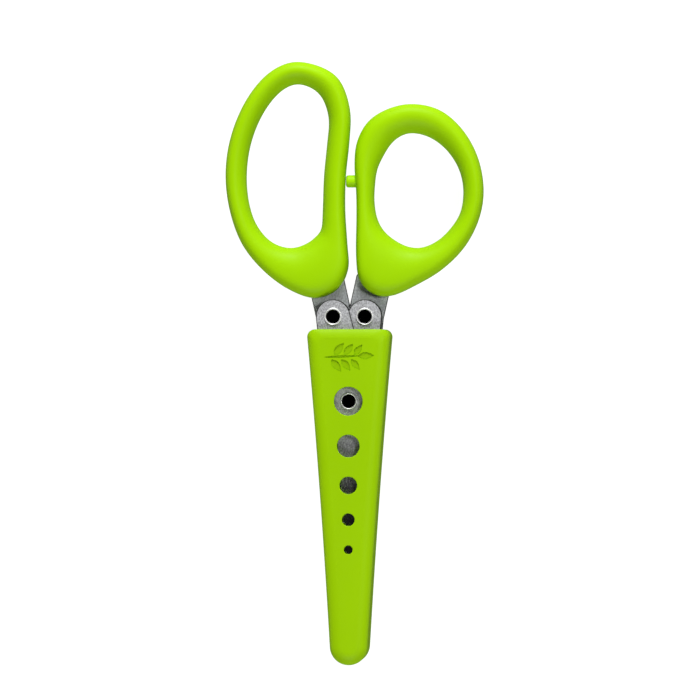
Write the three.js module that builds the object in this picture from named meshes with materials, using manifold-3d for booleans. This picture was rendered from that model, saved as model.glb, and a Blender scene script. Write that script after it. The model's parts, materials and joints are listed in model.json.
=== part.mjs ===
// Herb scissors: five pairs of blades on one hollow pivot rivet, two moulded loop handles and a slide-on sheath.
// Millimetres. The scissors lie flat and closed in their sheath: +X across, +Y along towards the handles, +Z up.
// The model is laid out around the pivot axis and moved as a whole, so that its base centre is the origin.
import * as THREE from "three";
import { ParametricGeometry } from "three/addons/geometries/ParametricGeometry.js";
import { mergeVertices } from "three/addons/utils/BufferGeometryUtils.js";
import Module from "manifold-3d";

const wasm = await Module();
wasm.setup();

// ---------------------------------------------------------------- driving dimensions

const PAIRS = 5; // blade pairs in the stack
const PITCH = 3.2; // from one pair to the next
const BLADE_T = 1.0; // thickness of one blade
const PLAY = 0.05; // free space on each side of a blade or a spacer
const TANG_PAIR = 2; // the middle pair, counted from 0, carries the handles

const HEEL = new THREE.Vector2(-5.25, 28.1); // rear rivet of the finger half
const HEEL_R = 5.7; // round end of an outer blade
const TANG_R = 6.0; // half the width of a tang
const PIVOT_R = 8.0; // round of a blade about the pivot
const TIP_Y = -76; // blade tips
const EDGE_START = new THREE.Vector2(-4.9, -13); // top end of the cutting edge
const EDGE_END = new THREE.Vector2(-0.5, TIP_Y); // tip end of the cutting edge
const TIP_NOSE = new THREE.Vector2(0.4, TIP_Y + 0.3); // where the narrow tip meets the spine
const SPINE = new THREE.Vector2(5.4, -44); // control point of the curved spine
const SPINE_ANGLE = -0.35; // where the spine leaves the pivot round, in radians
const CHOKE_ANGLE = -2.2; // where the edge side leaves the pivot round
const GRIND_W = 1.2; // width of the ground bevel
const EDGE_T = 0.15; // steel left at the cutting edge
const BLADE_STEPS = 7; // facets on each half turn of a blade's outline
const TANG_LEAN = THREE.MathUtils.degToRad(12.5); // lean of a tang from +Y
const TANG_STRAIGHT = 13; // full-width length of a tang beyond its rivet
const TANG_LENGTH = 19; // whole length of a tang beyond its rivet
const TANG_END_R = 4; // round end inside the handle

const TUBE_R = 2.5; // rivet tube outside
const BORE_R = 2.15; // rivet bore
const FLANGE_R = 2.95; // rolled flange of a rear rivet
const PIVOT_FLANGE_R = 2.75;
const FLANGE_T = 0.6;
const HOLE_R = 2.7; // rivet hole in blades, spacers and washers
const REAR_SPACER_R = 4.1;
const PIVOT_SPACER_R = 5.5;
const WASHER_R = 5.2;
const WASHER_T = 0.5;

const SECTION_POWER = 1.85; // 2 is an ellipse, less is sharper
const SECTION_SKEW = 1.35; // above 1 moves the handle's ridge towards its outer edge
const LOOP_STEPS = 64; // facets round a loop and round its section
const SECTION_STEPS = 14;
const TANG_FIT = 0.2; // clearance all round a tang in its handle
const STOP_R = 2.05; // closing stop between the handles
const STOP_Y = 73.2;
const STOP_TIP_X = -1.05;
const STOP_ROOT_X = 4;

const SHEATH_T = 21.4; // thickness of the sheath
const WALL = 1.7;
const MOUTH_Y = 23.9;
const MOUTH_HALF = 14.0; // half the sheath's width at its mouth
const MOUTH_CORNER = 2.6;
const TOE_Y = -81.4; // centre of the round toe
const TOE_R = 6.3;
const WAIST = new THREE.Vector2(9.4, -28); // control point of the sheath's gently curved sides
const EDGE_ROUND = 2.6; // round between the sheath's faces and sides
const CAVITY_ROUND = 2;
const STRIP_HOLE_D = [9.5, 7.5, 5.8, 4.2, 2.9]; // stem-stripping holes, the first over the pivot
const STRIP_WEB = 6.4; // plastic left between two holes
const MOUTH_OVERRUN = 8; // how far the sheath's blocks run past the mouth before they are trimmed

const MID_Z = SHEATH_T / 2; // mid-plane of the blade stack
const ROUND_STEPS = 20; // facets on a full round
const WELD = 1e-3; // points this close are one point
const OUTLINE_CENTRE = new THREE.Vector2(1.5, 12.7); // centre of the whole outline, from the pivot axis

// Stations clockwise round each handle loop: outer x, y, inner x, y and thickness there.
const FINGER_LOOP = [
  [-17.2, 113.2, -17.2, 105.6, 10],
  [-4.7, 108.6, -10.2, 102.3, 10],
  [0.0, 97.5, -7.1, 94.5, 10],
  [-0.2, 86.5, -7.6, 86.0, 10],
  [-1.4, 75.0, -8.7, 75.0, 10],
  [-1.6, 63.0, -9.1, 63.5, 10.4],
  [-0.9, 52.0, -9.6, 57.3, 11.4],
  [-0.6, 44.0, -11.6, 54.6, 12.4],
  [-4.2, 37.0, -14.5, 52.5, 13],
  [-11.5, 34.2, -18.5, 51.1, 13],
  [-20.5, 37.2, -23.2, 51.6, 12.6],
  [-29.5, 44.0, -28.0, 54.5, 11.6],
  [-36.9, 53.8, -32.3, 61.0, 10.6],
  [-41.4, 70.5, -34.5, 72.5, 10],
  [-40.3, 86.5, -33.3, 85.0, 10],
  [-34.2, 101.2, -28.8, 96.2, 10],
  [-25.9, 110.3, -22.8, 103.4, 10],
];
const THUMB_LOOP = [
  [20.1, 99.0, 21.1, 89.2, 10.4],
  [29.5, 97.2, 26.8, 87.7, 10.2],
  [37.1, 91.0, 32.1, 83.7, 10],
  [42.5, 81.7, 36.1, 77.7, 10],
  [44.6, 71.0, 37.8, 70.7, 10],
  [43.3, 61.3, 37.0, 63.3, 10],
  [38.6, 51.7, 33.8, 57.8, 10.4],
  [30.8, 43.8, 29.1, 53.3, 11.4],
  [22.3, 38.7, 23.8, 51.1, 12.4],
  [13.8, 35.0, 18.8, 51.6, 13],
  [7.8, 35.5, 14.8, 53.7, 13],
  [3.3, 40.0, 11.5, 56.5, 13],
  [2.1, 47.7, 9.3, 60.3, 12],
  [2.2, 60.3, 8.2, 66.0, 10.6],
  [2.1, 69.3, 8.3, 71.3, 10],
  [1.5, 78.7, 9.1, 77.0, 10],
  [2.3, 86.3, 11.0, 81.3, 10],
  [6.1, 93.2, 13.8, 85.7, 10.2],
  [12.3, 97.2, 17.1, 88.3, 10.4],
];

// ---------------------------------------------------------------- materials

const green = new THREE.MeshStandardMaterial({ color: 0x9fd200, roughness: 0.5, metalness: 0 });
const sheathGreen = new THREE.MeshStandardMaterial({ color: 0x99cc00, roughness: 0.55, metalness: 0 });
const steel = new THREE.MeshStandardMaterial({ color: 0xa9adb0, roughness: 0.35, metalness: 1 });
const nickel = new THREE.MeshStandardMaterial({ color: 0xd6d8da, roughness: 0.2, metalness: 1 });

// ---------------------------------------------------------------- solids and booleans

function solidOf(geometry) {
  const bare = geometry.index ? geometry.toNonIndexed() : geometry.clone();
  bare.deleteAttribute("normal");
  bare.deleteAttribute("uv");
  const merged = mergeVertices(bare, WELD);
  return new wasm.Manifold(
    new wasm.Mesh({
      numProp: 3,
      vertProperties: new Float32Array(merged.attributes.position.array),
      triVerts: new Uint32Array(merged.index.array),
    }),
  );
}

function geometryOf(solid) {
  const mesh = solid.getMesh();
  return new THREE.BufferGeometry()
    .setAttribute("position", new THREE.BufferAttribute(mesh.vertProperties, 3))
    .setIndex(new THREE.BufferAttribute(mesh.triVerts, 1));
}

function part(name, geometry, material) {
  const mesh = new THREE.Mesh(geometry, material);
  mesh.name = name;
  return mesh;
}

function circle(x, y, radius) {
  const path = new THREE.Path();
  path.absarc(x, y, radius, 0, 2 * Math.PI, true);
  return path;
}

function plate(shape, bottom, thickness, curveSegments = ROUND_STEPS / 2) {
  const options = { depth: thickness, bevelEnabled: false, curveSegments };
  return new THREE.ExtrudeGeometry(shape, options).translate(0, 0, bottom);
}

// A flat ring about the z axis of its own frame.
function ring(outerRadius, innerRadius, bottom, thickness) {
  const shape = new THREE.Shape().absarc(0, 0, outerRadius, 0, 2 * Math.PI, false);
  shape.holes.push(circle(0, 0, innerRadius));
  return plate(shape, bottom, thickness);
}

// A hollow rivet about the z axis, with a flange rolled over at each end of the grip.
function hollowRivet(gripBottom, gripTop, flangeRadius) {
  const low = gripBottom - FLANGE_T;
  const high = gripTop + FLANGE_T;
  const crown = (BORE_R + flangeRadius) / 2;
  const rim = FLANGE_T / 3;
  const profile = [
    [BORE_R, low + rim],
    [crown, low],
    [flangeRadius, gripBottom - rim],
    [flangeRadius, gripBottom],
    [TUBE_R, gripBottom],
    [TUBE_R, gripTop],
    [flangeRadius, gripTop],
    [flangeRadius, gripTop + rim],
    [crown, high],
    [BORE_R, high - rim],
    [BORE_R, low + rim],
  ];
  const points = profile.map(([r, z]) => new THREE.Vector2(r, z));
  return new THREE.LatheGeometry(points, ROUND_STEPS).rotateX(Math.PI / 2);
}

// ---------------------------------------------------------------- blades

// The two outer tangent normals of the heel round (radius heelRadius) and the pivot round.
function tangentNormals(heelRadius) {
  const along = HEEL.clone().negate().normalize(); // from the heel to the pivot
  const lean = (heelRadius - PIVOT_R) / HEEL.length();
  const across = Math.sqrt(1 - lean * lean);
  const normal = (side) =>
    new THREE.Vector2(lean * along.x - side * across * along.y, lean * along.y + side * across * along.x);
  return { left: normal(-1), right: normal(1) };
}

// Outline of a finger-half blade: pivot round, spine, tip, cutting edge and the back end drawn by drawBack.
function bladeShape(heelRadius, drawBack) {
  const { left, right } = tangentNormals(heelRadius);
  const shape = new THREE.Shape();
  shape.moveTo(EDGE_START.x, EDGE_START.y);
  shape.lineTo(EDGE_END.x, EDGE_END.y);
  shape.lineTo(TIP_NOSE.x, TIP_NOSE.y);
  const spineTop = { x: PIVOT_R * Math.cos(SPINE_ANGLE), y: PIVOT_R * Math.sin(SPINE_ANGLE) };
  shape.quadraticCurveTo(SPINE.x, SPINE.y, spineTop.x, spineTop.y);
  shape.absarc(0, 0, PIVOT_R, SPINE_ANGLE, right.angle(), false);
  drawBack(shape, left, right);
  shape.absarc(0, 0, PIVOT_R, left.angle(), CHOKE_ANGLE + 2 * Math.PI, false);
  shape.closePath();
  shape.holes.push(circle(0, 0, HOLE_R), circle(HEEL.x, HEEL.y, HOLE_R));
  return shape;
}

function roundHeel(shape, left, right) {
  shape.absarc(HEEL.x, HEEL.y, HEEL_R, right.angle(), left.angle(), false);
}

// A tang goes on past its rivet, straight and then narrower, into the handle.
function tangBack(shape) {
  const along = new THREE.Vector2(-Math.sin(TANG_LEAN), Math.cos(TANG_LEAN));
  const across = new THREE.Vector2(along.y, -along.x);
  const at = (distance, offset) => HEEL.clone().addScaledVector(along, distance).addScaledVector(across, offset);
  const end = at(TANG_LENGTH - TANG_END_R, 0);
  [at(0, TANG_R), at(TANG_STRAIGHT, TANG_R)].forEach((p) => shape.lineTo(p.x, p.y));
  shape.absarc(end.x, end.y, TANG_END_R, TANG_LEAN, TANG_LEAN + Math.PI, false);
  [at(TANG_STRAIGHT, -TANG_R), at(0, -TANG_R)].forEach((p) => shape.lineTo(p.x, p.y));
}

// The bevel ground on the outer face along the cutting edge, as the wedge of steel that is removed.
function grindWedge() {
  const run = EDGE_END.clone().sub(EDGE_START);
  const over = 3; // the wedge runs past both ends and outside the edge
  const top = PLAY + BLADE_T;
  const drop = (BLADE_T - EDGE_T) / GRIND_W;
  const section = new THREE.Shape([
    new THREE.Vector2(-over, top - BLADE_T + EDGE_T - over * drop),
    new THREE.Vector2(GRIND_W + over, top + over * drop),
    new THREE.Vector2(-over, top + over * drop),
  ]);
  const wedge = new THREE.ExtrudeGeometry(section, { depth: run.length() + over, bevelEnabled: false });
  const into = new THREE.Vector3(-run.y, run.x, 0).normalize(); // from the edge into the blade
  const up = new THREE.Vector3(0, 0, 1);
  const forward = new THREE.Vector3().crossVectors(into, up);
  const frame = new THREE.Matrix4().makeBasis(into, up, forward);
  const start = forward.y < 0 ? EDGE_START : EDGE_END;
  return wedge.applyMatrix4(frame.setPosition(start.x, start.y, 0));
}

function groundBlade(shape) {
  return geometryOf(solidOf(plate(shape, PLAY, BLADE_T, BLADE_STEPS)).subtract(solidOf(grindWedge())));
}

// ---------------------------------------------------------------- handles

// A closed rounded tube between an outer and an inner outline, with a skewed superellipse section.
function loopGeometry(stations) {
  const outline = (x, y) => {
    const points = stations.map((s) => new THREE.Vector3(s[x], s[y], s[4] / 2));
    return new THREE.CatmullRomCurve3(points, true, "centripetal");
  };
  const outer = outline(0, 1);
  const inner = outline(2, 3);
  const power = (value) => Math.sign(value) * Math.abs(value) ** (2 / SECTION_POWER);
  const surface = (u, v, target) => {
    const turn = -2 * Math.PI * (v % 1);
    const edge = outer.getPoint(u % 1);
    const across = ((1 - power(Math.cos(turn))) / 2) ** SECTION_SKEW;
    target.lerpVectors(edge, inner.getPoint(u % 1), across);
    target.z = edge.z * power(Math.sin(turn));
  };
  return new ParametricGeometry(surface, LOOP_STEPS, SECTION_STEPS);
}

// The tang's pocket: a little larger than the tang in its handle, in the finger half's frame.
function tangPocket() {
  const along = TANG_LENGTH + 2 * TANG_FIT;
  const block = new THREE.BoxGeometry(2 * (TANG_R + TANG_FIT), along, BLADE_T + 2 * TANG_FIT)
    .translate(0, along / 2, PLAY + BLADE_T / 2)
    .rotateZ(TANG_LEAN)
    .translate(HEEL.x, HEEL.y, 0);
  return solidOf(block);
}

function fingerHandle() {
  return geometryOf(solidOf(loopGeometry(FINGER_LOOP)).subtract(tangPocket()));
}

function thumbHandle() {
  const pocket = tangPocket().rotate([0, 180, 0]);
  const length = STOP_ROOT_X - STOP_TIP_X;
  const stop = new THREE.CylinderGeometry(STOP_R, STOP_R, length, ROUND_STEPS / 2)
    .rotateZ(Math.PI / 2)
    .translate(STOP_TIP_X + length / 2, STOP_Y, 0);
  return geometryOf(solidOf(loopGeometry(THUMB_LOOP)).add(solidOf(stop)).subtract(pocket));
}

// ---------------------------------------------------------------- sheath

// The sheath's plan, grown by grow all round and running past the mouth by past.
function sheathShape(grow, past) {
  const shape = new THREE.Shape();
  const mouth = MOUTH_HALF + grow;
  const slope = (MOUTH_HALF - WAIST.x) / (MOUTH_Y - WAIST.y);
  shape.moveTo(mouth + past * slope, MOUTH_Y + past);
  shape.lineTo(-mouth - past * slope, MOUTH_Y + past);
  shape.lineTo(-mouth, MOUTH_Y);
  shape.quadraticCurveTo(-WAIST.x - grow, WAIST.y, -TOE_R - grow, TOE_Y);
  shape.absarc(0, TOE_Y, TOE_R + grow, Math.PI, 2 * Math.PI, false);
  shape.quadraticCurveTo(WAIST.x + grow, WAIST.y, mouth, MOUTH_Y);
  shape.closePath();
  return shape;
}

function roundedBlock(grow, thickness, round) {
  const options = {
    depth: thickness - 2 * round,
    bevelSize: round,
    bevelOffset: -round,
    bevelThickness: round,
    bevelSegments: 3,
    curveSegments: 10,
  };
  const block = new THREE.ExtrudeGeometry(sheathShape(grow, MOUTH_OVERRUN), options);
  return solidOf(block.translate(0, 0, round - thickness / 2));
}

// Everything below the mouth, with the mouth's two corners rounded in plan.
function mouthTrim() {
  const half = MOUTH_HALF + MOUTH_CORNER;
  const cornerSteps = 4;
  const shape = new THREE.Shape();
  shape.moveTo(half, TOE_Y - 2 * TOE_R);
  shape.lineTo(half, MOUTH_Y - MOUTH_CORNER);
  shape.lineTo(MOUTH_HALF, MOUTH_Y - MOUTH_CORNER);
  shape.absarc(MOUTH_HALF - MOUTH_CORNER, MOUTH_Y - MOUTH_CORNER, MOUTH_CORNER, 0, Math.PI / 2, false);
  shape.absarc(MOUTH_CORNER - MOUTH_HALF, MOUTH_Y - MOUTH_CORNER, MOUTH_CORNER, Math.PI / 2, Math.PI, false);
  shape.lineTo(-half, MOUTH_Y - MOUTH_CORNER);
  shape.lineTo(-half, TOE_Y - 2 * TOE_R);
  shape.closePath();
  return solidOf(plate(shape, -SHEATH_T, 2 * SHEATH_T, cornerSteps));
}

function sheath() {
  let body = roundedBlock(0, SHEATH_T, EDGE_ROUND).intersect(mouthTrim());
  body = body.subtract(roundedBlock(-WALL, SHEATH_T - 2 * WALL, CAVITY_ROUND));
  let y = STRIP_HOLE_D[0] / 2 + STRIP_WEB;
  STRIP_HOLE_D.forEach((diameter) => {
    y -= STRIP_WEB + diameter / 2;
    const drill = new THREE.CylinderGeometry(diameter / 2, diameter / 2, 2 * SHEATH_T, ROUND_STEPS)
      .rotateX(Math.PI / 2)
      .translate(0, y, 0);
    body = body.subtract(solidOf(drill));
    y -= diameter / 2;
  });
  return geometryOf(body);
}

// ---------------------------------------------------------------- assembly

const levels = Array.from({ length: PAIRS }, (_, k) => (k - (PAIRS - 1) / 2) * PITCH);
const outerBlade = groundBlade(bladeShape(HEEL_R, roundHeel));
const tangBlade = groundBlade(bladeShape(TANG_R, tangBack));
const rearSpacer = ring(REAR_SPACER_R, HOLE_R, 2 * PLAY + BLADE_T, PITCH - BLADE_T - 2 * PLAY);

// One half's five blades, their rear spacers and their rear rivet, in the finger half's frame.
function bladeStack(half) {
  const stack = new THREE.Group();
  let outer = 0;
  levels.forEach((z, k) => {
    const isTang = k === TANG_PAIR;
    if (!isTang) outer += 1;
    const name = isTang ? `${half}_tang_blade` : `${half}_blade_${outer}`;
    const blade = part(name, isTang ? tangBlade : outerBlade, steel);
    blade.position.z = z;
    stack.add(blade);
    if (k === PAIRS - 1) return;
    const spacer = part(`${half}_rear_spacer_${k + 1}`, rearSpacer, steel);
    spacer.position.set(HEEL.x, HEEL.y, z);
    stack.add(spacer);
  });
  const grip = hollowRivet(levels[0], levels[PAIRS - 1] + BLADE_T + 2 * PLAY, FLANGE_R);
  const rivet = part(`${half}_rear_rivet`, grip, nickel);
  rivet.position.set(HEEL.x, HEEL.y, 0);
  stack.add(rivet);
  return stack;
}

function pivotGroup() {
  const group = new THREE.Group();
  const pairHalf = BLADE_T + PLAY; // from a pair's mid-plane to its outer face
  const top = levels[PAIRS - 1] + pairHalf + PLAY;
  group.add(part("pivot_washer_front", ring(WASHER_R, HOLE_R, top, WASHER_T), steel));
  group.add(part("pivot_washer_back", ring(WASHER_R, HOLE_R, -top - WASHER_T, WASHER_T), steel));
  levels.slice(0, -1).forEach((z, k) => {
    const bottom = z + pairHalf + PLAY;
    const thickness = PITCH - 2 * (pairHalf + PLAY);
    group.add(part(`pivot_spacer_${k + 1}`, ring(PIVOT_SPACER_R, HOLE_R, bottom, thickness), steel));
  });
  const grip = top + WASHER_T + PLAY;
  group.add(part("pivot_rivet", hollowRivet(-grip, grip, PIVOT_FLANGE_R), nickel));
  return group;
}

const fingerHalf = bladeStack("finger");
fingerHalf.add(part("finger_handle", fingerHandle(), green));

// The thumb half's blades are the same stampings turned over about the Y axis.
const thumbStack = bladeStack("thumb");
thumbStack.rotation.y = Math.PI;
const thumbHalf = new THREE.Group().add(thumbStack, part("thumb_handle", thumbHandle(), green));

const sheathGroup = new THREE.Group().add(part("sheath", sheath(), sheathGreen));

const scissors = new THREE.Group().add(pivotGroup(), fingerHalf, thumbHalf, sheathGroup);
scissors.position.set(-OUTLINE_CENTRE.x, -OUTLINE_CENTRE.y, MID_Z);

export default new THREE.Group().add(scissors);
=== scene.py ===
"""Herb scissors in their sheath: the visual model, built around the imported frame.

Shapes are laid out in millimetres from the pivot axis and the mid-plane of the blade stack, and placed in the
frame in metres. +X points towards the thumb loop, +Y towards the handles and +Z up from the table.
"""

import json
import math

import bmesh
import bpy
import numpy as np
from mathutils import Matrix, Vector


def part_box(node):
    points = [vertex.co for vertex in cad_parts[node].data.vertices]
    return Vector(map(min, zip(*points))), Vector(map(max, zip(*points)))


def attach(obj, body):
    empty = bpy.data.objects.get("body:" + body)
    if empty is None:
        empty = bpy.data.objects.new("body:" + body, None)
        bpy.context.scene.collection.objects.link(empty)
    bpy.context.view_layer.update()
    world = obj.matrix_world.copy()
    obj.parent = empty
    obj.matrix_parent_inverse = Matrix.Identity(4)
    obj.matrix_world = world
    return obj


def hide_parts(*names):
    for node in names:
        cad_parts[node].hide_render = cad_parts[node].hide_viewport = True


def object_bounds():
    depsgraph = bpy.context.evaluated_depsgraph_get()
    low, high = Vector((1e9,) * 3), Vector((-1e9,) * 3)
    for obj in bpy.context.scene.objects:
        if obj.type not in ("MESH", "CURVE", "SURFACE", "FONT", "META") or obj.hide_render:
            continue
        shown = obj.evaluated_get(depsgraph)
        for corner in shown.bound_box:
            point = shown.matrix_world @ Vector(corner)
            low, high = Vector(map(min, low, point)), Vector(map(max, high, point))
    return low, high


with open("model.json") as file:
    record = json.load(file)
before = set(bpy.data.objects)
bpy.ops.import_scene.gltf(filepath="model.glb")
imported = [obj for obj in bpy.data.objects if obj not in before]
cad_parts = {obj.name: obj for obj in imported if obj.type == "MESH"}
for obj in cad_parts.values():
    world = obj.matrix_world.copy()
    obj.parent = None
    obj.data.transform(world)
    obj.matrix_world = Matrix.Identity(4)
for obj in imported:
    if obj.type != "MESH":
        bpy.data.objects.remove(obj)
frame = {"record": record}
cad_low, cad_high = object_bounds()

MM = 0.001
BODY_OF = {node: body for body, nodes in frame["record"]["behaviour"]["bodies"].items() for node in nodes}

rivet_low, rivet_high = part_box("pivot_rivet")
PIVOT = (rivet_low + rivet_high) / 2
PIVOT.z = (cad_low.z + cad_high.z) / 2  # the stack's mid-plane
TO_FRAME = Matrix.Translation(PIVOT) @ Matrix.Scale(MM, 4)
TURNED = Matrix.Rotation(math.pi, 4, "Y")  # the thumb half's blades are turned over about the Y axis

# ---------------------------------------------------------------- dimensions, in millimetres

HEEL = Vector((-5.25, 28.1))  # rear rivet of the finger half
HEEL_R = 5.7
TANG_R = 6.0
PIVOT_R = 8.0
TIP_Y = -76
TIP_NOSE = (0.4, TIP_Y + 0.3)  # where the narrow tip meets the spine
EDGE_START = Vector((-4.9, -13))
EDGE_END = Vector((-0.5, TIP_Y))
SPINE = Vector((5.4, -44))
SPINE_START = -0.35  # angles on the pivot round, in radians
CHOKE_END = -2.2
GRIND_W = 1.2
EDGE_T = 0.15
TANG_LEAN = math.radians(12.5)
TANG_STRAIGHT = 13
TANG_LENGTH = 19
TANG_END_R = 4
# broken edges, wide enough that their near-black steel shows as a thin outline of painted shade
BLADE_BEVEL = 0.3
FLAT_NORMAL = 0.99  # how much a blade's flats face along Z, at least
GRIND_NORMAL = (0.75, 0.87)  # and how much its ground bevel does
POLISH_NONE = 4  # the blades' satin finish turns to a polish between these heights
POLISH_FULL = -46
POLISHED = -0.05  # roughness of the polish before its grain is added
POLISH_GRAIN = 0.3  # roughness that the grain adds at most, and half of it on average

TUBE_R = 2.5
BORE_R = 2.3
FLANGE_T = 0.6
HOLE_R = 2.7
HEAD_ROUND = 0.25  # round of a rivet's plain head
HEAD_FLOOR = 0.5  # metal left under the bore at that head
RIM_INSET = 0.1  # the rolled rim starts this far in from the flange's edge
RIM_START = 0.1  # and at this angle on its round, in radians
RING_CHAMFER = 0.1  # broken edge of a washer or spacer

SECTION_POWER = 1.85  # 2 is an ellipse, more is boxier
SECTION_SKEW = 1.35  # more than 1 moves the crest towards the outer edge
SECTION_BOX = 0.2  # the power grows by this much for each millimetre of thickness past the thinnest
STOP_Y = 73.2
STOP_R = 2.05
STOP_TIP_X = -1.3
STOP_NOSE = 0.8  # round of its tip
STOP_ROOT_X = 4

SHEATH_T = (cad_high.z - cad_low.z) / MM
WALL = 1.7
MOUTH_Y = 23.9
MOUTH_HALF = 14.0
MOUTH_CORNER = 2.6
MOUTH_RUN = 3.0  # how far the mouth's round reaches along the face
MOUTH_DROP = 1.2  # and how deep
MOUTH_POWER = 1.5  # 2 is an ellipse, less is nearer a chamfer
MOUTH_DRAW_IN = 0.1781  # how much narrower the sheath is where the mouth's corners begin
PARTING = 0.1  # depth of the fine groove at the mould's parting line
LIP_FLARE = 0.35
TOE_Y = -81.4
TOE_R = 6.3
WAIST = Vector((9.4, -28))
SIDE_RUN = 4.2  # how far the round of the sides reaches across the face
SIDE_DROP = 3.0  # and how deep
CAVITY_ROUND = 2
PAST = 1  # how far a cutter goes past the face that it cuts
STRIP_HOLE_D = [9.5, 7.5, 5.8, 4.2, 2.9]
STRIP_WEB = 6.4
HOLE_ROUND = 0.25
SPRIG_DEPTH = 0.35
SPRIG_START = (-8.2, 14.6)
STEM_LENGTH = 12.6
STEM_WIDTH = 0.9
STEM_TILT = 0.04  # angles of the stem and of the leaf at its end, in radians
END_LEAF_TILT = 0.06
END_LEAF_LENGTH = 5.4
END_LEAF_OVERLAP = 1.2  # how far back along the stem it starts
END_LEAF_RISE = 0.35
LEAF_FIRST = 2.6  # the first pair's distance along the stem
LEAF_PITCH = 3.3
LEAF_STAGGER = 0.9  # the upper leaves stand this much further along
LEAF_ASIDE = 0.7
LEAF_LENGTH = 5.2
LEAF_WIDTH = 2.5
LEAF_ANGLE = math.radians(52)
LEAF_FULLNESS = 0.85  # less than 1 makes a leaf widest nearer its base
LEAF_SHRINK = 0.07  # each pair of leaves is this much smaller than the pair before

# Stations clockwise round each handle loop: outer x, y, inner x, y and thickness there.
FINGER_LOOP = [
    (-17.2, 113.2, -17.2, 105.6, 10),
    (-4.7, 108.6, -10.2, 102.3, 10),
    (0.0, 97.5, -7.1, 94.5, 10),
    (-0.2, 86.5, -7.6, 86.0, 10),
    (-1.4, 75.0, -8.7, 75.0, 10),
    (-1.6, 63.0, -9.1, 63.5, 10.4),
    (-0.9, 52.0, -9.6, 57.3, 11.4),
    (-0.6, 44.0, -11.6, 54.6, 12.4),
    (-4.2, 37.0, -14.5, 52.5, 13),
    (-11.5, 34.2, -18.5, 51.1, 13),
    (-20.5, 37.2, -23.2, 51.6, 12.6),
    (-29.5, 44.0, -28.0, 54.5, 11.6),
    (-36.9, 53.8, -32.3, 61.0, 10.6),
    (-41.4, 70.5, -34.5, 72.5, 10),
    (-40.3, 86.5, -33.3, 85.0, 10),
    (-34.2, 101.2, -28.8, 96.2, 10),
    (-25.9, 110.3, -22.8, 103.4, 10),
]
THUMB_LOOP = [
    (20.1, 99.0, 21.1, 89.2, 10.4),
    (29.5, 97.2, 26.8, 87.7, 10.2),
    (37.1, 91.0, 32.1, 83.7, 10),
    (42.5, 81.7, 36.1, 77.7, 10),
    (44.6, 71.0, 37.8, 70.7, 10),
    (43.3, 61.3, 37.0, 63.3, 10),
    (38.6, 51.7, 33.8, 57.8, 10.4),
    (30.8, 43.8, 29.1, 53.3, 11.4),
    (22.3, 38.7, 23.8, 51.1, 12.4),
    (13.8, 35.0, 18.8, 51.6, 13),
    (7.8, 35.5, 14.8, 53.7, 13),
    (3.3, 40.0, 11.5, 56.5, 13),
    (2.1, 47.7, 9.3, 60.3, 12),
    (2.2, 60.3, 8.2, 66.0, 10.6),
    (2.1, 69.3, 8.3, 71.3, 10),
    (1.5, 78.7, 9.1, 77.0, 10),
    (2.3, 86.3, 11.0, 81.3, 10),
    (6.1, 93.2, 13.8, 85.7, 10.2),
    (12.3, 97.2, 17.1, 88.3, 10.4),
]

# ---------------------------------------------------------------- mesh tools


def new_object(name, vertices, faces, place=TO_FRAME):
    """A mesh object from points in millimetres, put into the frame by place."""
    mesh = bpy.data.meshes.new(name)
    mesh.from_pydata([place @ Vector(v) for v in vertices], [], faces)
    mesh.validate()
    obj = bpy.data.objects.new(name, mesh)
    bpy.context.scene.collection.objects.link(obj)
    return obj


def bake_modifiers(obj):
    """Turns obj's modifiers into its own mesh."""
    bpy.context.view_layer.update()
    graph = bpy.context.evaluated_depsgraph_get()
    mesh = bpy.data.meshes.new_from_object(obj.evaluated_get(graph))
    obj.modifiers.clear()
    obj.data = mesh


def carve(obj, cutter):
    """Removes cutter's volume from obj, and cutter itself."""
    boolean = obj.modifiers.new("carve", "BOOLEAN")
    boolean.operation = "DIFFERENCE"
    boolean.solver = "EXACT"
    boolean.object = cutter
    bake_modifiers(obj)
    bpy.data.objects.remove(cutter)


def shade(obj, sharp_degrees=30):
    """Smooth shading with sharp edges kept, and flat faces left flat beside small rounds."""
    obj.data.shade_smooth()
    obj.data.set_sharp_from_angle(angle=math.radians(sharp_degrees))
    weighted = obj.modifiers.new("weighted", "WEIGHTED_NORMAL")
    weighted.keep_sharp = True
    weighted.mode = "FACE_AREA"


def arc(centre, radius, start, end, steps):
    """Points on a circle from angle start to end, both included."""
    angles = np.linspace(start, end, steps + 1)
    return [(centre[0] + radius * math.cos(a), centre[1] + radius * math.sin(a)) for a in angles]


def quadratic(start, control, end, steps):
    """Points on a quadratic curve from start to end, both included."""
    points = []
    for t in np.linspace(0, 1, steps + 1):
        a, b, c = (1 - t) ** 2, 2 * t * (1 - t), t**2
        points.append(tuple(a * start[k] + b * control[k] + c * end[k] for k in range(2)))
    return points


def closed_spline(points, per_span):
    """A centripetal Catmull-Rom curve through points, closed, then lightly evened out."""
    p = np.array(points, float)
    before, after, later = np.roll(p, 1, 0), np.roll(p, -1, 0), np.roll(p, -2, 0)
    spans = ((before, p), (p, after), (after, later))
    gap = [np.sqrt(np.linalg.norm(b - a, axis=1))[:, None] for a, b in spans]
    leave = (p - before) / gap[0] - (after - before) / (gap[0] + gap[1]) + (after - p) / gap[1]
    arrive = (after - p) / gap[1] - (later - p) / (gap[1] + gap[2]) + (later - after) / gap[2]
    leave, arrive = leave * gap[1], arrive * gap[1]
    t = (np.arange(per_span) / per_span)[None, :, None]
    pieces = (
        (2 * t**3 - 3 * t**2 + 1) * p[:, None]
        + (t**3 - 2 * t**2 + t) * leave[:, None]
        + (3 * t**2 - 2 * t**3) * after[:, None]
        + (t**3 - t**2) * arrive[:, None]
    )
    curve = pieces.reshape(-1, p.shape[1])
    for _ in range(per_span):
        curve = (np.roll(curve, 1, 0) + 2 * curve + np.roll(curve, -1, 0)) / 4
    return curve


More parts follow.
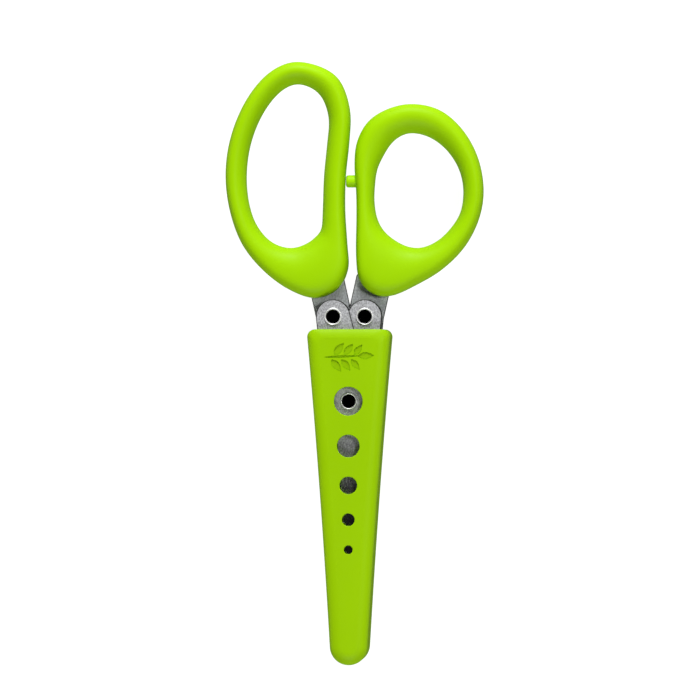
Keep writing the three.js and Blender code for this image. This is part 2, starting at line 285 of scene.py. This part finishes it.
def grid_faces(rows, columns):
    """Quads of a grid that closes on itself both ways."""
    faces = []
    for i in range(rows):
        for j in range(columns):
            k, m = (i + 1) % rows, (j + 1) % columns
            faces.append((i * columns + j, k * columns + j, k * columns + m, i * columns + m))
    return faces


def stack(name, outlines):
    """A closed solid through a pile of (z, outline) levels from the lowest up, each with as many points."""
    count = len(outlines[0][1])
    vertices = [(x, y, z) for z, outline in outlines for x, y in outline]
    faces = [tuple(reversed(range(count)))]
    for level in range(len(outlines) - 1):
        low = level * count
        for j in range(count):
            k = (j + 1) % count
            faces.append((low + j, low + k, low + count + k, low + count + j))
    top = (len(outlines) - 1) * count
    faces.append(tuple(range(top, top + count)))
    return new_object(name, vertices, faces)


def lathe(name, profile, centre, segments=96, place=TO_FRAME):
    """A solid turned about a vertical axis. The profile runs up the outside, in radius and height."""
    closed = profile[0][0] > 0
    vertices, rings = [], []
    for r, z in profile:
        if r == 0:
            rings.append([len(vertices)])
            vertices.append((centre[0], centre[1], z))
            continue
        rings.append(list(range(len(vertices), len(vertices) + segments)))
        for x, y in arc(centre, r, 0, 2 * math.pi, segments)[:-1]:
            vertices.append((x, y, z))
    pairs = list(zip(rings, rings[1:] + rings[:1] if closed else rings[1:]))
    faces = []
    for low, high in pairs:
        for j in range(segments):
            k = (j + 1) % segments
            corners = [low[j % len(low)], low[k % len(low)], high[k % len(high)], high[j % len(high)]]
            faces.append(tuple(dict.fromkeys(corners)))
    return new_object(name, vertices, faces, place)


# ---------------------------------------------------------------- materials


def node(tree, kind, **inputs):
    """A shader node with some of its input sockets set."""
    made = tree.nodes.new(kind)
    for name, value in inputs.items():
        made.inputs[name.replace("_", " ")].default_value = value
    return made


def base_material(name, roughness, metallic):
    """A principled material, its tree, and object coordinates in metres."""
    material = bpy.data.materials.new(name)
    material.use_nodes = True
    tree = material.node_tree
    shader = tree.nodes["Principled BSDF"]
    shader.inputs["Roughness"].default_value = roughness
    shader.inputs["Metallic"].default_value = metallic
    coordinates = tree.nodes.new("ShaderNodeTexCoord").outputs["Object"]
    return material, tree, shader, coordinates


def noise(tree, coordinates, scale, detail=3.0, stretch=(1, 1, 1)):
    """A noise value from 0 to 1 with features about 1 / scale metres across, stretched along the axes."""
    mapping = tree.nodes.new("ShaderNodeMapping")
    mapping.inputs["Scale"].default_value = stretch
    tree.links.new(coordinates, mapping.inputs["Vector"])
    texture = node(tree, "ShaderNodeTexNoise", Scale=scale, Detail=detail)
    tree.links.new(mapping.outputs["Vector"], texture.inputs["Vector"])
    return texture.outputs["Fac"]


def vary_colour(tree, shader, value, low, high):
    """Base colour between low and high as value goes from 0.35 to 0.65."""
    ramp = tree.nodes.new("ShaderNodeValToRGB")
    ramp.color_ramp.elements[0].position, ramp.color_ramp.elements[1].position = 0.35, 0.65
    ramp.color_ramp.elements[0].color, ramp.color_ramp.elements[1].color = (*low, 1), (*high, 1)
    tree.links.new(value, ramp.inputs["Fac"])
    tree.links.new(ramp.outputs["Color"], shader.inputs["Base Color"])


def map_range(tree, value, start, end, low, high):
    """A value that goes from low to high as the given one goes from start to end."""
    scale = node(tree, "ShaderNodeMapRange", From_Min=start, From_Max=end, To_Min=low, To_Max=high)
    tree.links.new(value, scale.inputs["Value"])
    return scale.outputs["Result"]


def vary_roughness(tree, shader, value, low, high):
    """Roughness between low and high as value goes from 0.3 to 0.7."""
    tree.links.new(map_range(tree, value, 0.3, 0.7, low, high), shader.inputs["Roughness"])


def bump(tree, shader, value, strength, distance):
    """Surface relief from value, at most distance metres deep."""
    relief = node(tree, "ShaderNodeBump", Strength=strength, Distance=distance)
    tree.links.new(value, relief.inputs["Height"])
    tree.links.new(relief.outputs["Normal"], shader.inputs["Normal"])


def moulded_plastic(name, colour):
    """Satin moulded plastic: a fine spark-eroded grain, slight flow marks and uneven gloss."""
    material, tree, shader, coordinates = base_material(name, 0.5, 0)
    shader.inputs["Specular IOR Level"].default_value = 0.07
    flow = noise(tree, coordinates, 60, 2, (1, 0.35, 1))
    vary_colour(tree, shader, flow, [0.96 * c for c in colour], colour)
    vary_roughness(tree, shader, noise(tree, coordinates, 500, 4), 0.40, 0.48)
    bump(tree, shader, noise(tree, coordinates, 2600, 2), 0.12, 0.00008)
    return material


def polished_towards_tip(tree, shader, grain, coordinates, satin):
    """Roughness that falls from satin near the pivot to a polish on the lower blade, with some grain."""
    split = tree.nodes.new("ShaderNodeSeparateXYZ")
    tree.links.new(coordinates, split.inputs["Vector"])
    full, none = PIVOT.y + POLISH_FULL * MM, PIVOT.y + POLISH_NONE * MM
    smooth = map_range(tree, split.outputs["Y"], full, none, POLISHED, satin - POLISH_GRAIN / 2)
    total = tree.nodes.new("ShaderNodeMath")
    total.operation = "MULTIPLY_ADD"
    total.inputs[1].default_value = POLISH_GRAIN
    tree.links.new(grain, total.inputs[0])
    tree.links.new(smooth, total.inputs[2])
    tree.links.new(total.outputs["Value"], shader.inputs["Roughness"])


def brushed_steel(name, low, high, roughness, polish=False):
    """Stamped sheet steel: mottled, brushed lengthwise, and polished lower down if polish is set."""
    material, tree, shader, coordinates = base_material(name, roughness, 1)
    vary_colour(tree, shader, noise(tree, coordinates, 2000, 6, (1.3, 0.8, 1.3)), low, high)
    grain = noise(tree, coordinates, 2200, 3, (2, 0.25, 2))
    if polish:
        polished_towards_tip(tree, shader, grain, coordinates, roughness)
    else:
        vary_roughness(tree, shader, grain, roughness - 0.07, roughness + 0.09)
    bump(tree, shader, noise(tree, coordinates, 2600, 3, (2, 0.4, 2)), 0.15, 0.00004)
    return material


def plated_metal(name):
    """Bright nickel plate with faint forming marks."""
    material, tree, shader, coordinates = base_material(name, 0.4, 0.6)
    marks = noise(tree, coordinates, 1500, 4)
    vary_colour(tree, shader, marks, (0.90, 0.90, 0.89), (0.99, 0.99, 0.98))
    vary_roughness(tree, shader, marks, 0.34, 0.46)
    bump(tree, shader, noise(tree, coordinates, 3500, 2), 0.1, 0.00004)
    return material


def dark_bore(name):
    """The unplated inside of a rivet: dull, and coloured nearly black as painted shade for its deep bore."""
    material, tree, shader, coordinates = base_material(name, 0.7, 0)
    bore_mottle = noise(tree, coordinates, 1200, 3)
    vary_colour(tree, shader, bore_mottle, (0.004, 0.004, 0.003), (0.012, 0.011, 0.009))
    return material


HANDLE_GREEN = (0.343, 0.66, 0.0005)
SHEATH_GREEN = (0.315, 0.585, 0.0005)
PAINTED_SHADE_GREEN = [0.84 * c for c in SHEATH_GREEN]  # painted shade: the sprig's floor, coloured darker as it looks in its own shade

handle_plastic = moulded_plastic("handle_plastic", HANDLE_GREEN)
sheath_plastic = moulded_plastic("sheath_plastic", SHEATH_GREEN)
# painted shade for the sprig's floor
painted_shade_plastic = moulded_plastic("painted_shade_plastic", PAINTED_SHADE_GREEN)
blade_steel = brushed_steel("blade_steel", (0.43, 0.43, 0.44), (0.80, 0.81, 0.83), 0.52, polish=True)
# the blades' brushed steel made lighter at its darkest: painted light for the tangs, which lie in the
# handles' shade
tang_steel_lightened = brushed_steel("tang_steel_lightened", (0.50, 0.52, 0.53), (0.78, 0.81, 0.82), 0.5, polish=True)
washer_steel = brushed_steel("washer_steel", (0.37, 0.38, 0.37), (0.62, 0.64, 0.62), 0.5)
# sheared sides and broken edges: duller steel, darkened to near black as painted shade outlining each blade
sheared_and_shade_steel = brushed_steel("sheared_and_shade_steel", (0.02, 0.02, 0.02), (0.08, 0.08, 0.08), 0.55)
ground_steel = brushed_steel("ground_steel", (0.40, 0.41, 0.43), (0.60, 0.61, 0.63), 0.35)
rivet_plate = plated_metal("rivet_plate")
rivet_bore_shade = dark_bore("rivet_bore_shade")


def finish_piece(obj, node_name, material_slot, *materials):
    """Gives a piece its materials, lets it ride on its node's body and stand for that node."""
    obj.data.materials.clear()
    for material in materials:
        obj.data.materials.append(material)
    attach(obj, BODY_OF[node_name])
    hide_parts(node_name)


# ---------------------------------------------------------------- handles


def loop_handle(name, stations):
    """The moulded loop: a skewed superellipse section swept between its outer and inner outlines."""
    per_span, around = 16, 56
    curve = closed_spline(stations, per_span)
    turns = 2 * math.pi * np.arange(around) / around
    edge, inner, thickness = curve[:, None, 0:2], curve[:, None, 2:4], curve[:, 4, None]
    box = SECTION_POWER + SECTION_BOX * (thickness - thickness.min())

    def power(value):
        return np.sign(value) * np.abs(value) ** (2 / box)

    across = ((1 - power(np.cos(turns))) / 2) ** SECTION_SKEW
    plan = edge + (inner - edge) * across[..., None]
    z = thickness * power(np.sin(turns)) / 2
    vertices = np.concatenate([plan, z[..., None]], axis=2).reshape(-1, 3)
    obj = new_object(name, vertices.tolist(), grid_faces(len(curve), around))
    obj.data.shade_smooth()
    return obj


def closing_stop():
    """The short round-nosed peg on the thumb loop that meets the finger loop when the scissors close."""
    profile = [(0, STOP_TIP_X)]
    profile += arc((STOP_R - STOP_NOSE, STOP_TIP_X + STOP_NOSE), STOP_NOSE, -math.pi / 2, 0, 8)
    profile += [(STOP_R, STOP_ROOT_X), (0, STOP_ROOT_X)]
    lying = Matrix.Rotation(math.pi / 2, 4, "Y")  # the profile's height runs along +X
    place = TO_FRAME @ Matrix.Translation((0, STOP_Y, 0)) @ lying
    obj = lathe("thumb_stop", profile, (0, 0), 48, place)
    shade(obj)
    return obj


finger_handle = loop_handle("finger_handle_moulded", FINGER_LOOP)
finish_piece(finger_handle, "finger_handle", "handle_plastic", handle_plastic)
thumb_handle = loop_handle("thumb_handle_moulded", THUMB_LOOP)
finish_piece(thumb_handle, "thumb_handle", "handle_plastic", handle_plastic)
thumb_stop = closing_stop()
thumb_stop.data.materials.append(handle_plastic)
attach(thumb_stop, "thumb_half")

# ---------------------------------------------------------------- blades


def tangent_angles(heel_radius):
    """Angles of the two normals shared by the heel round and the pivot round, right then left."""
    along = -HEEL.normalized()
    lean = (heel_radius - PIVOT_R) / HEEL.length
    across = math.sqrt(1 - lean**2)
    angles = []
    for side in (1, -1):
        x = lean * along.x - side * across * along.y
        y = lean * along.y + side * across * along.x
        angles.append(math.atan2(y, x) % (2 * math.pi))
    return angles


def heel_end(right, left):
    """An outer blade ends in a round about its rear rivet."""
    return arc(HEEL, HEEL_R, right, left, 64)


def tang_end(_right, _left):
    """A tang goes on past its rivet, straight and then narrower, into the handle."""
    along = Vector((-math.sin(TANG_LEAN), math.cos(TANG_LEAN)))
    across = Vector((along.y, -along.x))
    side = [HEEL + along * d + across * TANG_R for d in (0, TANG_STRAIGHT)]
    other = [HEEL + along * d - across * TANG_R for d in (TANG_STRAIGHT, 0)]
    end = HEEL + along * (TANG_LENGTH - TANG_END_R)
    cap = arc(end, TANG_END_R, TANG_LEAN, TANG_LEAN + math.pi, 32)
    return [tuple(p) for p in side] + cap + [tuple(p) for p in other]


def blade_outline(heel_radius, back_end):
    """A finger-half blade in plan: edge, tip, spine, pivot round, back end and choke."""
    right, left = tangent_angles(heel_radius)
    spine_end = (PIVOT_R * math.cos(SPINE_START), PIVOT_R * math.sin(SPINE_START))
    points = [tuple(EDGE_START), tuple(EDGE_END)]
    points += quadratic(TIP_NOSE, SPINE, spine_end, 40)
    points += arc((0, 0), PIVOT_R, SPINE_START, right, 24)[1:]
    points += back_end(right, left)
    points += arc((0, 0), PIVOT_R, left, CHOKE_END + 2 * math.pi, 24)
    return points


def plate(name, outline, thickness):
    """A flat plate about z = 0 with its edges broken."""
    obj = stack(name, [(-thickness / 2, outline), (thickness / 2, outline)])
    bevel = obj.modifiers.new("bevel", "BEVEL")
    bevel.width = BLADE_BEVEL * MM
    bevel.segments = 2
    bevel.limit_method = "ANGLE"
    bevel.angle_limit = math.radians(40)
    bake_modifiers(obj)
    return obj


def grind_wedge(thickness):
    """The steel ground off the outer face along the cutting edge."""
    over = 3  # how far the cutter goes past the steel
    slope = (thickness - EDGE_T) / GRIND_W
    top = thickness / 2
    run = EDGE_END - EDGE_START
    section = [(-over, top - thickness + EDGE_T - over * slope), (GRIND_W + over, top + over * slope)]
    section.append((-over, top + over * slope))
    forward = Vector((run.x, run.y, 0)).normalized()
    into = Vector((-forward.y, forward.x, 0))
    start = Vector((EDGE_START.x, EDGE_START.y, 0))
    corners = []
    for along in (0, run.length + over):
        corners += [start + forward * along + into * x + Vector((0, 0, z)) for x, z in section]
    faces = [(2, 1, 0), (3, 4, 5), (0, 1, 4, 3), (1, 2, 5, 4), (2, 0, 3, 5)]
    return new_object("wedge", corners, faces)


def outward(obj):
    """Makes every face of a closed solid point out."""
    work = bmesh.new()
    work.from_mesh(obj.data)
    bmesh.ops.recalc_face_normals(work, faces=work.faces)
    work.to_mesh(obj.data)
    work.free()


def drill(centre, radius, half_depth):
    """A cutter for a round hole."""
    profile = [(0, -half_depth), (radius, -half_depth), (radius, half_depth), (0, half_depth)]
    cutter = lathe("drill", profile, centre, 64)
    outward(cutter)
    return cutter


def stamped_blade(name, thickness, heel_radius, back_end):
    """One finger-half blade about z = 0: stamped, drilled and ground."""
    blade = plate(name, blade_outline(heel_radius, back_end), thickness)
    wedge = grind_wedge(thickness)
    outward(wedge)
    carve(blade, wedge)
    for centre in ((0, 0), tuple(HEEL)):
        carve(blade, drill(centre, HOLE_R, thickness))
    return blade


def place_blade(template, node_name):
    """A copy of the template at its node's level, turned over in the thumb half."""
    low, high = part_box(node_name)
    mesh = template.data.copy()
    about_pivot = Matrix.Translation(PIVOT)
    turn = TURNED if node_name.startswith("thumb") else Matrix.Identity(4)
    mesh.transform(about_pivot @ turn @ about_pivot.inverted())
    mesh.transform(Matrix.Translation((0, 0, (low.z + high.z) / 2 - PIVOT.z)))
    obj = bpy.data.objects.new(node_name + "_stamped", mesh)
    bpy.context.scene.collection.objects.link(obj)
    # the tangs take the lightened steel, painted light against the handles' shade
    material = tang_steel_lightened if "tang" in node_name else blade_steel
    shade(obj, 20)
    finish_piece(obj, node_name, "blade_steel", material, ground_steel, sheared_and_shade_steel)
    # flats keep the satin steel, the ground bevel its own steel, and sides and broken edges the near-black
    # steel, painted shade outlining the blade
    for face in mesh.polygons:
        level = abs(face.normal.z)
        if GRIND_NORMAL[0] < level < GRIND_NORMAL[1]:
            face.material_index = 1
        elif level < FLAT_NORMAL:
            face.material_index = 2


blade_low, blade_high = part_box("finger_blade_1")
blade_thickness = (blade_high.z - blade_low.z) / MM
outer_template = stamped_blade("outer_template", blade_thickness, HEEL_R, heel_end)
tang_template = stamped_blade("tang_template", blade_thickness, TANG_R, tang_end)
for blade_node in sorted(BODY_OF):
    if "tang_blade" in blade_node:
        place_blade(tang_template, blade_node)
    elif "_blade_" in blade_node:
        place_blade(outer_template, blade_node)
bpy.data.objects.remove(outer_template)
bpy.data.objects.remove(tang_template)

# ---------------------------------------------------------------- spacers, washers and rivets


def node_disc(node_name):
    """A round node's centre, outer radius, bottom and top, in millimetres about the pivot."""
    low, high = ((corner - PIVOT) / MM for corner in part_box(node_name))
    centre = ((low.x + high.x) / 2, (low.y + high.y) / 2)
    return centre, (high.x - low.x) / 2, low.z, high.z


def flat_ring(node_name):
    """A washer or spacer with its edges broken."""
    centre, radius, bottom, top = node_disc(node_name)
    profile = [
        (HOLE_R, bottom + RING_CHAMFER),
        (HOLE_R + RING_CHAMFER, bottom),
        (radius - RING_CHAMFER, bottom),
        (radius, bottom + RING_CHAMFER),
        (radius, top - RING_CHAMFER),
        (radius - RING_CHAMFER, top),
        (HOLE_R + RING_CHAMFER, top),
        (HOLE_R, top - RING_CHAMFER),
    ]
    ring = lathe(node_name + "_turned", profile, centre, 72)
    outward(ring)
    shade(ring)
    finish_piece(ring, node_name, "blade_steel", washer_steel)


def hollow_rivet(node_name):
    """A semi-tubular rivet: a low head behind, and in front the open end rolled over into a rim."""
    centre, flange, bottom, top = node_disc(node_name)
    grip_low, grip_high = bottom + FLANGE_T, top - FLANGE_T
    bore_end = grip_low + HEAD_FLOOR
    crest, half_width = (flange + BORE_R) / 2, (flange - BORE_R) / 2
    profile = [(0, bottom)]
    profile += arc((flange - HEAD_ROUND, bottom + HEAD_ROUND), HEAD_ROUND, -math.pi / 2, 0, 6)
    profile += [(flange, grip_low), (TUBE_R, grip_low), (TUBE_R, grip_high), (flange - RIM_INSET, grip_high)]
    profile += [
        (crest + half_width * math.cos(a), grip_high + FLANGE_T * math.sin(a))
        for a in np.linspace(RIM_START, math.pi, 16)
    ]
    profile += [(BORE_R, bore_end), (0, bore_end)]
    rivet = lathe(node_name + "_formed", profile, centre, 96)
    outward(rivet)
    shade(rivet, 40)
    finish_piece(rivet, node_name, "rivet_metal", rivet_plate, rivet_bore_shade)
    # the bore's faces take the near-black material, painted shade for the deep hole
    for face in rivet.data.polygons:
        spot = (face.center - PIVOT) / MM
        inside = (spot.xy - Vector(centre)).length < (BORE_R + TUBE_R) / 2
        if inside and grip_low < spot.z < grip_high:
            face.material_index = 1


for round_node in sorted(BODY_OF):
    if "spacer" in round_node or "washer" in round_node:
        flat_ring(round_node)
    elif "rivet" in round_node:
        hollow_rivet(round_node)

# ---------------------------------------------------------------- sheath


def sheath_outline(inset, mouth_inset):
    """The sheath in plan, inset from its sides and toe by one amount and from its mouth by another."""
    toe = TOE_R - inset
    lean = math.atan2(WAIST.x - TOE_R, WAIST.y - TOE_Y)
    mouth_y = MOUTH_Y - mouth_inset
    corner = MOUTH_CORNER
    toe_end = (toe * math.cos(lean), TOE_Y - toe * math.sin(lean))
    side_top = (MOUTH_HALF - inset - MOUTH_DRAW_IN, mouth_y - corner)
    right = quadratic(toe_end, (WAIST.x - inset, WAIST.y), side_top, 48)
    right += arc((side_top[0] - corner, side_top[1]), corner, 0, math.pi / 2, 12)[1:]
    left = [(-x, y) for x, y in reversed(right)]
    toe_round = arc((0, TOE_Y), toe, math.pi + lean, 2 * math.pi - lean, 48)[1:-1]
    return right + left + toe_round


def sheath_shell():
    """The sheath's outer form, with rounds all round its two faces and a tighter one at the mouth."""
    half_t = SHEATH_T / 2
    pile = []
    for a in np.linspace(0, math.pi / 2, 13):
        inset, depth = SIDE_RUN * (1 - math.sin(a)), SIDE_DROP * (1 - math.cos(a))
        short = max(0.0, 1 - depth / MOUTH_DROP)
        mouth_inset = MOUTH_RUN * (1 - (1 - short**MOUTH_POWER) ** (1 / MOUTH_POWER))
        pile.append((half_t - depth, sheath_outline(inset, mouth_inset)))
    pile += [(1.5 * PARTING, sheath_outline(0, 0)), (0, sheath_outline(PARTING, 0))]
    bottom = [(-z, outline) for z, outline in pile[:-1]]
    return stack("sheath_moulded", bottom + pile[::-1])


def cavity():
    """The space for the blades, as rounded sections along the sheath, flared a little at the lip."""
    depth = SHEATH_T / 2 - WALL
    toe = TOE_R - WALL
    first = 0.12  # angle on the toe's round where the sections begin
    ys = [TOE_Y - toe * math.cos(a) for a in np.linspace(first, math.pi / 2, 14)]
    ys += list(np.linspace(TOE_Y, MOUTH_Y - LIP_FLARE, 30)[1:])
    ys += [MOUTH_Y - LIP_FLARE * (1 - math.sin(a)) for a in np.linspace(0, math.pi / 2, 7)[1:]]
    ys.append(MOUTH_Y + 2 * PAST)
    corner_steps = 6
    vertices, rings = [], []
    for y in ys:
        flare = 0.0
        if y > MOUTH_Y - LIP_FLARE:
            rise = min(1.0, (y - MOUTH_Y + LIP_FLARE) / LIP_FLARE)
            flare = LIP_FLARE * (1 - math.sqrt(1 - rise**2))
        if y < TOE_Y:
            half = math.sqrt(toe**2 - (TOE_Y - y) ** 2)
        else:
            half = side_half_width(y) - WALL
        half, tall = half + flare, depth + flare
        corner = min(CAVITY_ROUND, 0.9 * half)
        section = []
        for quarter, (sx, sz) in enumerate(((1, 1), (-1, 1), (-1, -1), (1, -1))):
            start = quarter * math.pi / 2
            centre = (sx * (half - corner), sz * (tall - corner))
            section += arc(centre, corner, start, start + math.pi / 2, corner_steps)
        rings.append(range(len(vertices), len(vertices) + len(section)))
        vertices += [(x, y, z) for x, z in section]
    faces = [tuple(rings[0]), tuple(reversed(rings[-1]))]
    for low, high in zip(rings, rings[1:]):
        for j in range(len(low)):
            k = (j + 1) % len(low)
            faces.append((low[j], high[j], high[k], low[k]))
    cutter = new_object("cavity", vertices, faces)
    outward(cutter)
    return cutter


def side_half_width(y):
    """Half the sheath's outer width at y, on its gently curved sides."""
    side = quadratic((TOE_R, TOE_Y), WAIST, (MOUTH_HALF, MOUTH_Y), 60)
    return float(np.interp(y, [p[1] for p in side], [p[0] for p in side]))


def stem_hole(centre_y, radius):
    """A cutter for a stem hole, flared at both faces so that the hole gets a rounded edge."""
    face = SHEATH_T / 2
    flare = [
        (radius + HOLE_ROUND * (1 - math.cos(a)), face - HOLE_ROUND * (1 - math.sin(a)))
        for a in np.linspace(0, math.pi / 2, 7)
    ]
    flare.append((radius + HOLE_ROUND, face + PAST))
    profile = [(0, -face - PAST)] + [(r, -z) for r, z in reversed(flare)] + flare + [(0, face + PAST)]
    cutter = lathe("stem_hole", profile, (0, centre_y), 64)
    outward(cutter)
    return cutter


def leaf(base, angle, length, width):
    """A cutter for one shallow leaf: two arcs that meet at its base and its point."""
    along = Vector((math.cos(angle), math.sin(angle)))
    across = Vector((-along.y, along.x))
    outline = []
    for side in (-1, 1):
        for t in np.linspace(0, 1, 15)[:-1]:
            s = t if side < 0 else 1 - t
            bulge = side * width / 2 * math.sin(math.pi * s**LEAF_FULLNESS)
            outline.append(tuple(Vector(base) + along * length * s + across * bulge))
    face = SHEATH_T / 2
    return stack("leaf", [(face - SPRIG_DEPTH, outline), (face + PAST, outline)])


def sprig():
    """Cutters for a plain lying sprig: a slender stem, leaves on both sides of it and one at its end."""
    start, level = SPRIG_START
    cutters = [leaf((start, level), STEM_TILT, STEM_LENGTH, STEM_WIDTH)]
    for pair in range(3):
        x = start + LEAF_FIRST + LEAF_PITCH * pair
        size = 1 - LEAF_SHRINK * pair
        for side, further in ((-1, 0), (1, LEAF_STAGGER)):
            base = (x + further, level + side * LEAF_ASIDE)
            cutters.append(leaf(base, side * LEAF_ANGLE, LEAF_LENGTH * size, LEAF_WIDTH * size))
    end = (start + STEM_LENGTH - END_LEAF_OVERLAP, level + END_LEAF_RISE)
    cutters.append(leaf(end, END_LEAF_TILT, END_LEAF_LENGTH, LEAF_WIDTH))
    return cutters


def build_sheath():
    """The sheath: its outer form, hollowed, with its stem holes and the sprig cut in."""
    shell = sheath_shell()
    outward(shell)
    carve(shell, cavity())
    y = STRIP_HOLE_D[0] / 2 + STRIP_WEB
    for diameter in STRIP_HOLE_D:
        y -= STRIP_WEB + diameter / 2
        carve(shell, stem_hole(y, diameter / 2))
        y -= diameter / 2
    for cutter in sprig():
        outward(cutter)
        carve(shell, cutter)
    shade(shell, 35)
    finish_piece(shell, "sheath", "sheath_plastic", sheath_plastic, painted_shade_plastic)
    sprig_floor = cad_high.z - SPRIG_DEPTH * MM
    nearly = 0.05 * MM
    # the sprig's floor faces get the darker green, painted shade for the recess
    for face in shell.data.polygons:
        if face.normal.z > FLAT_NORMAL and abs(face.center.z - sprig_floor) < nearly:
            face.material_index = 1


build_sheath()

# ---------------------------------------------------------------- floor, lights and camera

LIGHT_DISTANCE = 1.25
# Each light's azimuth, counted from beyond the handles towards +X, elevation, width, height and watts.
LIGHTS = {
    "key": (0, 28, 0.4, 0.55, 16.5),
    "fill": (180, 45, 0.5, 0.5, 6.5),
    "crown": (70, 60, 0.22, 0.22, 3.6),
}
FLOOR_REACH = 3.0
FLOOR_GAP = 0.0001
FLOOR_GLOW = 0.96
CAMERA_DISTANCE = 2.2
CAMERA_LEAN = math.radians(3.2)
VIEW_WIDTH = 0.2333
VIEW_CENTRE_Y = 17.0
# The tent's brightness by height, from straight down to straight up. It is dark where the camera looks from.
TENT = [
    (-1.0, 0.03),
    (-0.8, 0.25),
    (-0.2, 0.6),
    (0.0, 1.0),
    (0.15, 0.1),
    (0.4, 0.1),
    (0.7, 0.16),
    (0.9, 0.1),
    (0.955, 0.03),
    (1.0, 0.01),
]


def make_floor():
    """A white table top, lit from below as a light table is, which leaves only faint shadows."""
    mesh = bpy.data.meshes.new("floor")
    corners = [(FLOOR_REACH * x, FLOOR_REACH * y) for x, y in ((-1, -1), (1, -1), (1, 1), (-1, 1))]
    mesh.from_pydata([(x, y, cad_low.z - FLOOR_GAP) for x, y in corners], [], [(0, 1, 2, 3)])
    floor = bpy.data.objects.new("floor", mesh)
    bpy.context.scene.collection.objects.link(floor)
    material = bpy.data.materials.new("floor_white")
    material.use_nodes = True
    shader = material.node_tree.nodes["Principled BSDF"]
    shader.inputs["Base Color"].default_value = (0.2, 0.2, 0.2, 1)
    shader.inputs["Roughness"].default_value = 0.9
    shader.inputs["Emission Color"].default_value = (1, 1, 1, 1)
    shader.inputs["Emission Strength"].default_value = FLOOR_GLOW
    floor.data.materials.append(material)
    floor.visible_diffuse = False
    floor.visible_glossy = False
    floor.visible_shadow = False


def area_light(name, azimuth, elevation, width, height, watts):
    """A soft light aimed at the object's middle."""
    light = bpy.data.lights.new(name, "AREA")
    light.shape = "RECTANGLE"
    light.size, light.size_y = width, height
    light.energy = watts
    turn, rise = math.radians(azimuth), math.radians(elevation)
    level = math.cos(rise)
    position = LIGHT_DISTANCE * Vector((math.sin(turn) * level, math.cos(turn) * level, math.sin(rise)))
    obj = bpy.data.objects.new(name, light)
    obj.location = position
    obj.rotation_euler = (-position).to_track_quat("-Z", "Y").to_euler()
    bpy.context.scene.collection.objects.link(obj)


def make_lights():
    """A soft key from beyond the handles, a fill from the toe, a small high crown light and a pale tent."""
    for name, place in LIGHTS.items():
        area_light(name, *place)
    world = bpy.data.worlds.new("tent")
    world.use_nodes = True
    tree = world.node_tree
    background = tree.nodes["Background"]
    background.inputs["Color"].default_value = (1, 1, 1, 1)
    height = tree.nodes.new("ShaderNodeSeparateXYZ")
    tree.links.new(tree.nodes.new("ShaderNodeTexCoord").outputs["Generated"], height.inputs["Vector"])
    ramp = tree.nodes.new("ShaderNodeValToRGB")
    elements = ramp.color_ramp.elements
    for stop in TENT[1:-1]:
        elements.new((1 + stop[0]) / 2)
    for element, (_, strength) in zip(elements, TENT):
        element.color = (strength, strength, strength, 1)
    tree.links.new(map_range(tree, height.outputs["Z"], -1, 1, 0, 1), ramp.inputs["Fac"])
    tree.links.new(ramp.outputs["Color"], background.inputs["Strength"])
    bpy.context.scene.world = world


def make_camera():
    """Straight above the scissors, a few degrees to the thumb side, through a long lens."""
    target = PIVOT + Vector((0, VIEW_CENTRE_Y, 0)) * MM
    back = Vector((math.sin(CAMERA_LEAN), 0, math.cos(CAMERA_LEAN)))
    data = bpy.data.cameras.new("camera")
    data.sensor_width = 36
    data.lens = data.sensor_width * CAMERA_DISTANCE / VIEW_WIDTH
    data.clip_start, data.clip_end = 0.1, 20
    camera = bpy.data.objects.new("camera", data)
    camera.location = target + back * CAMERA_DISTANCE
    side = Vector((0, 1, 0)).cross(back)
    up = back.cross(side)
    camera.rotation_euler = Matrix((side, up, back)).transposed().to_euler()
    bpy.context.scene.collection.objects.link(camera)
    bpy.context.scene.camera = camera


make_floor()
make_lights()
make_camera()
bpy.context.scene.view_settings.view_transform = "Standard"
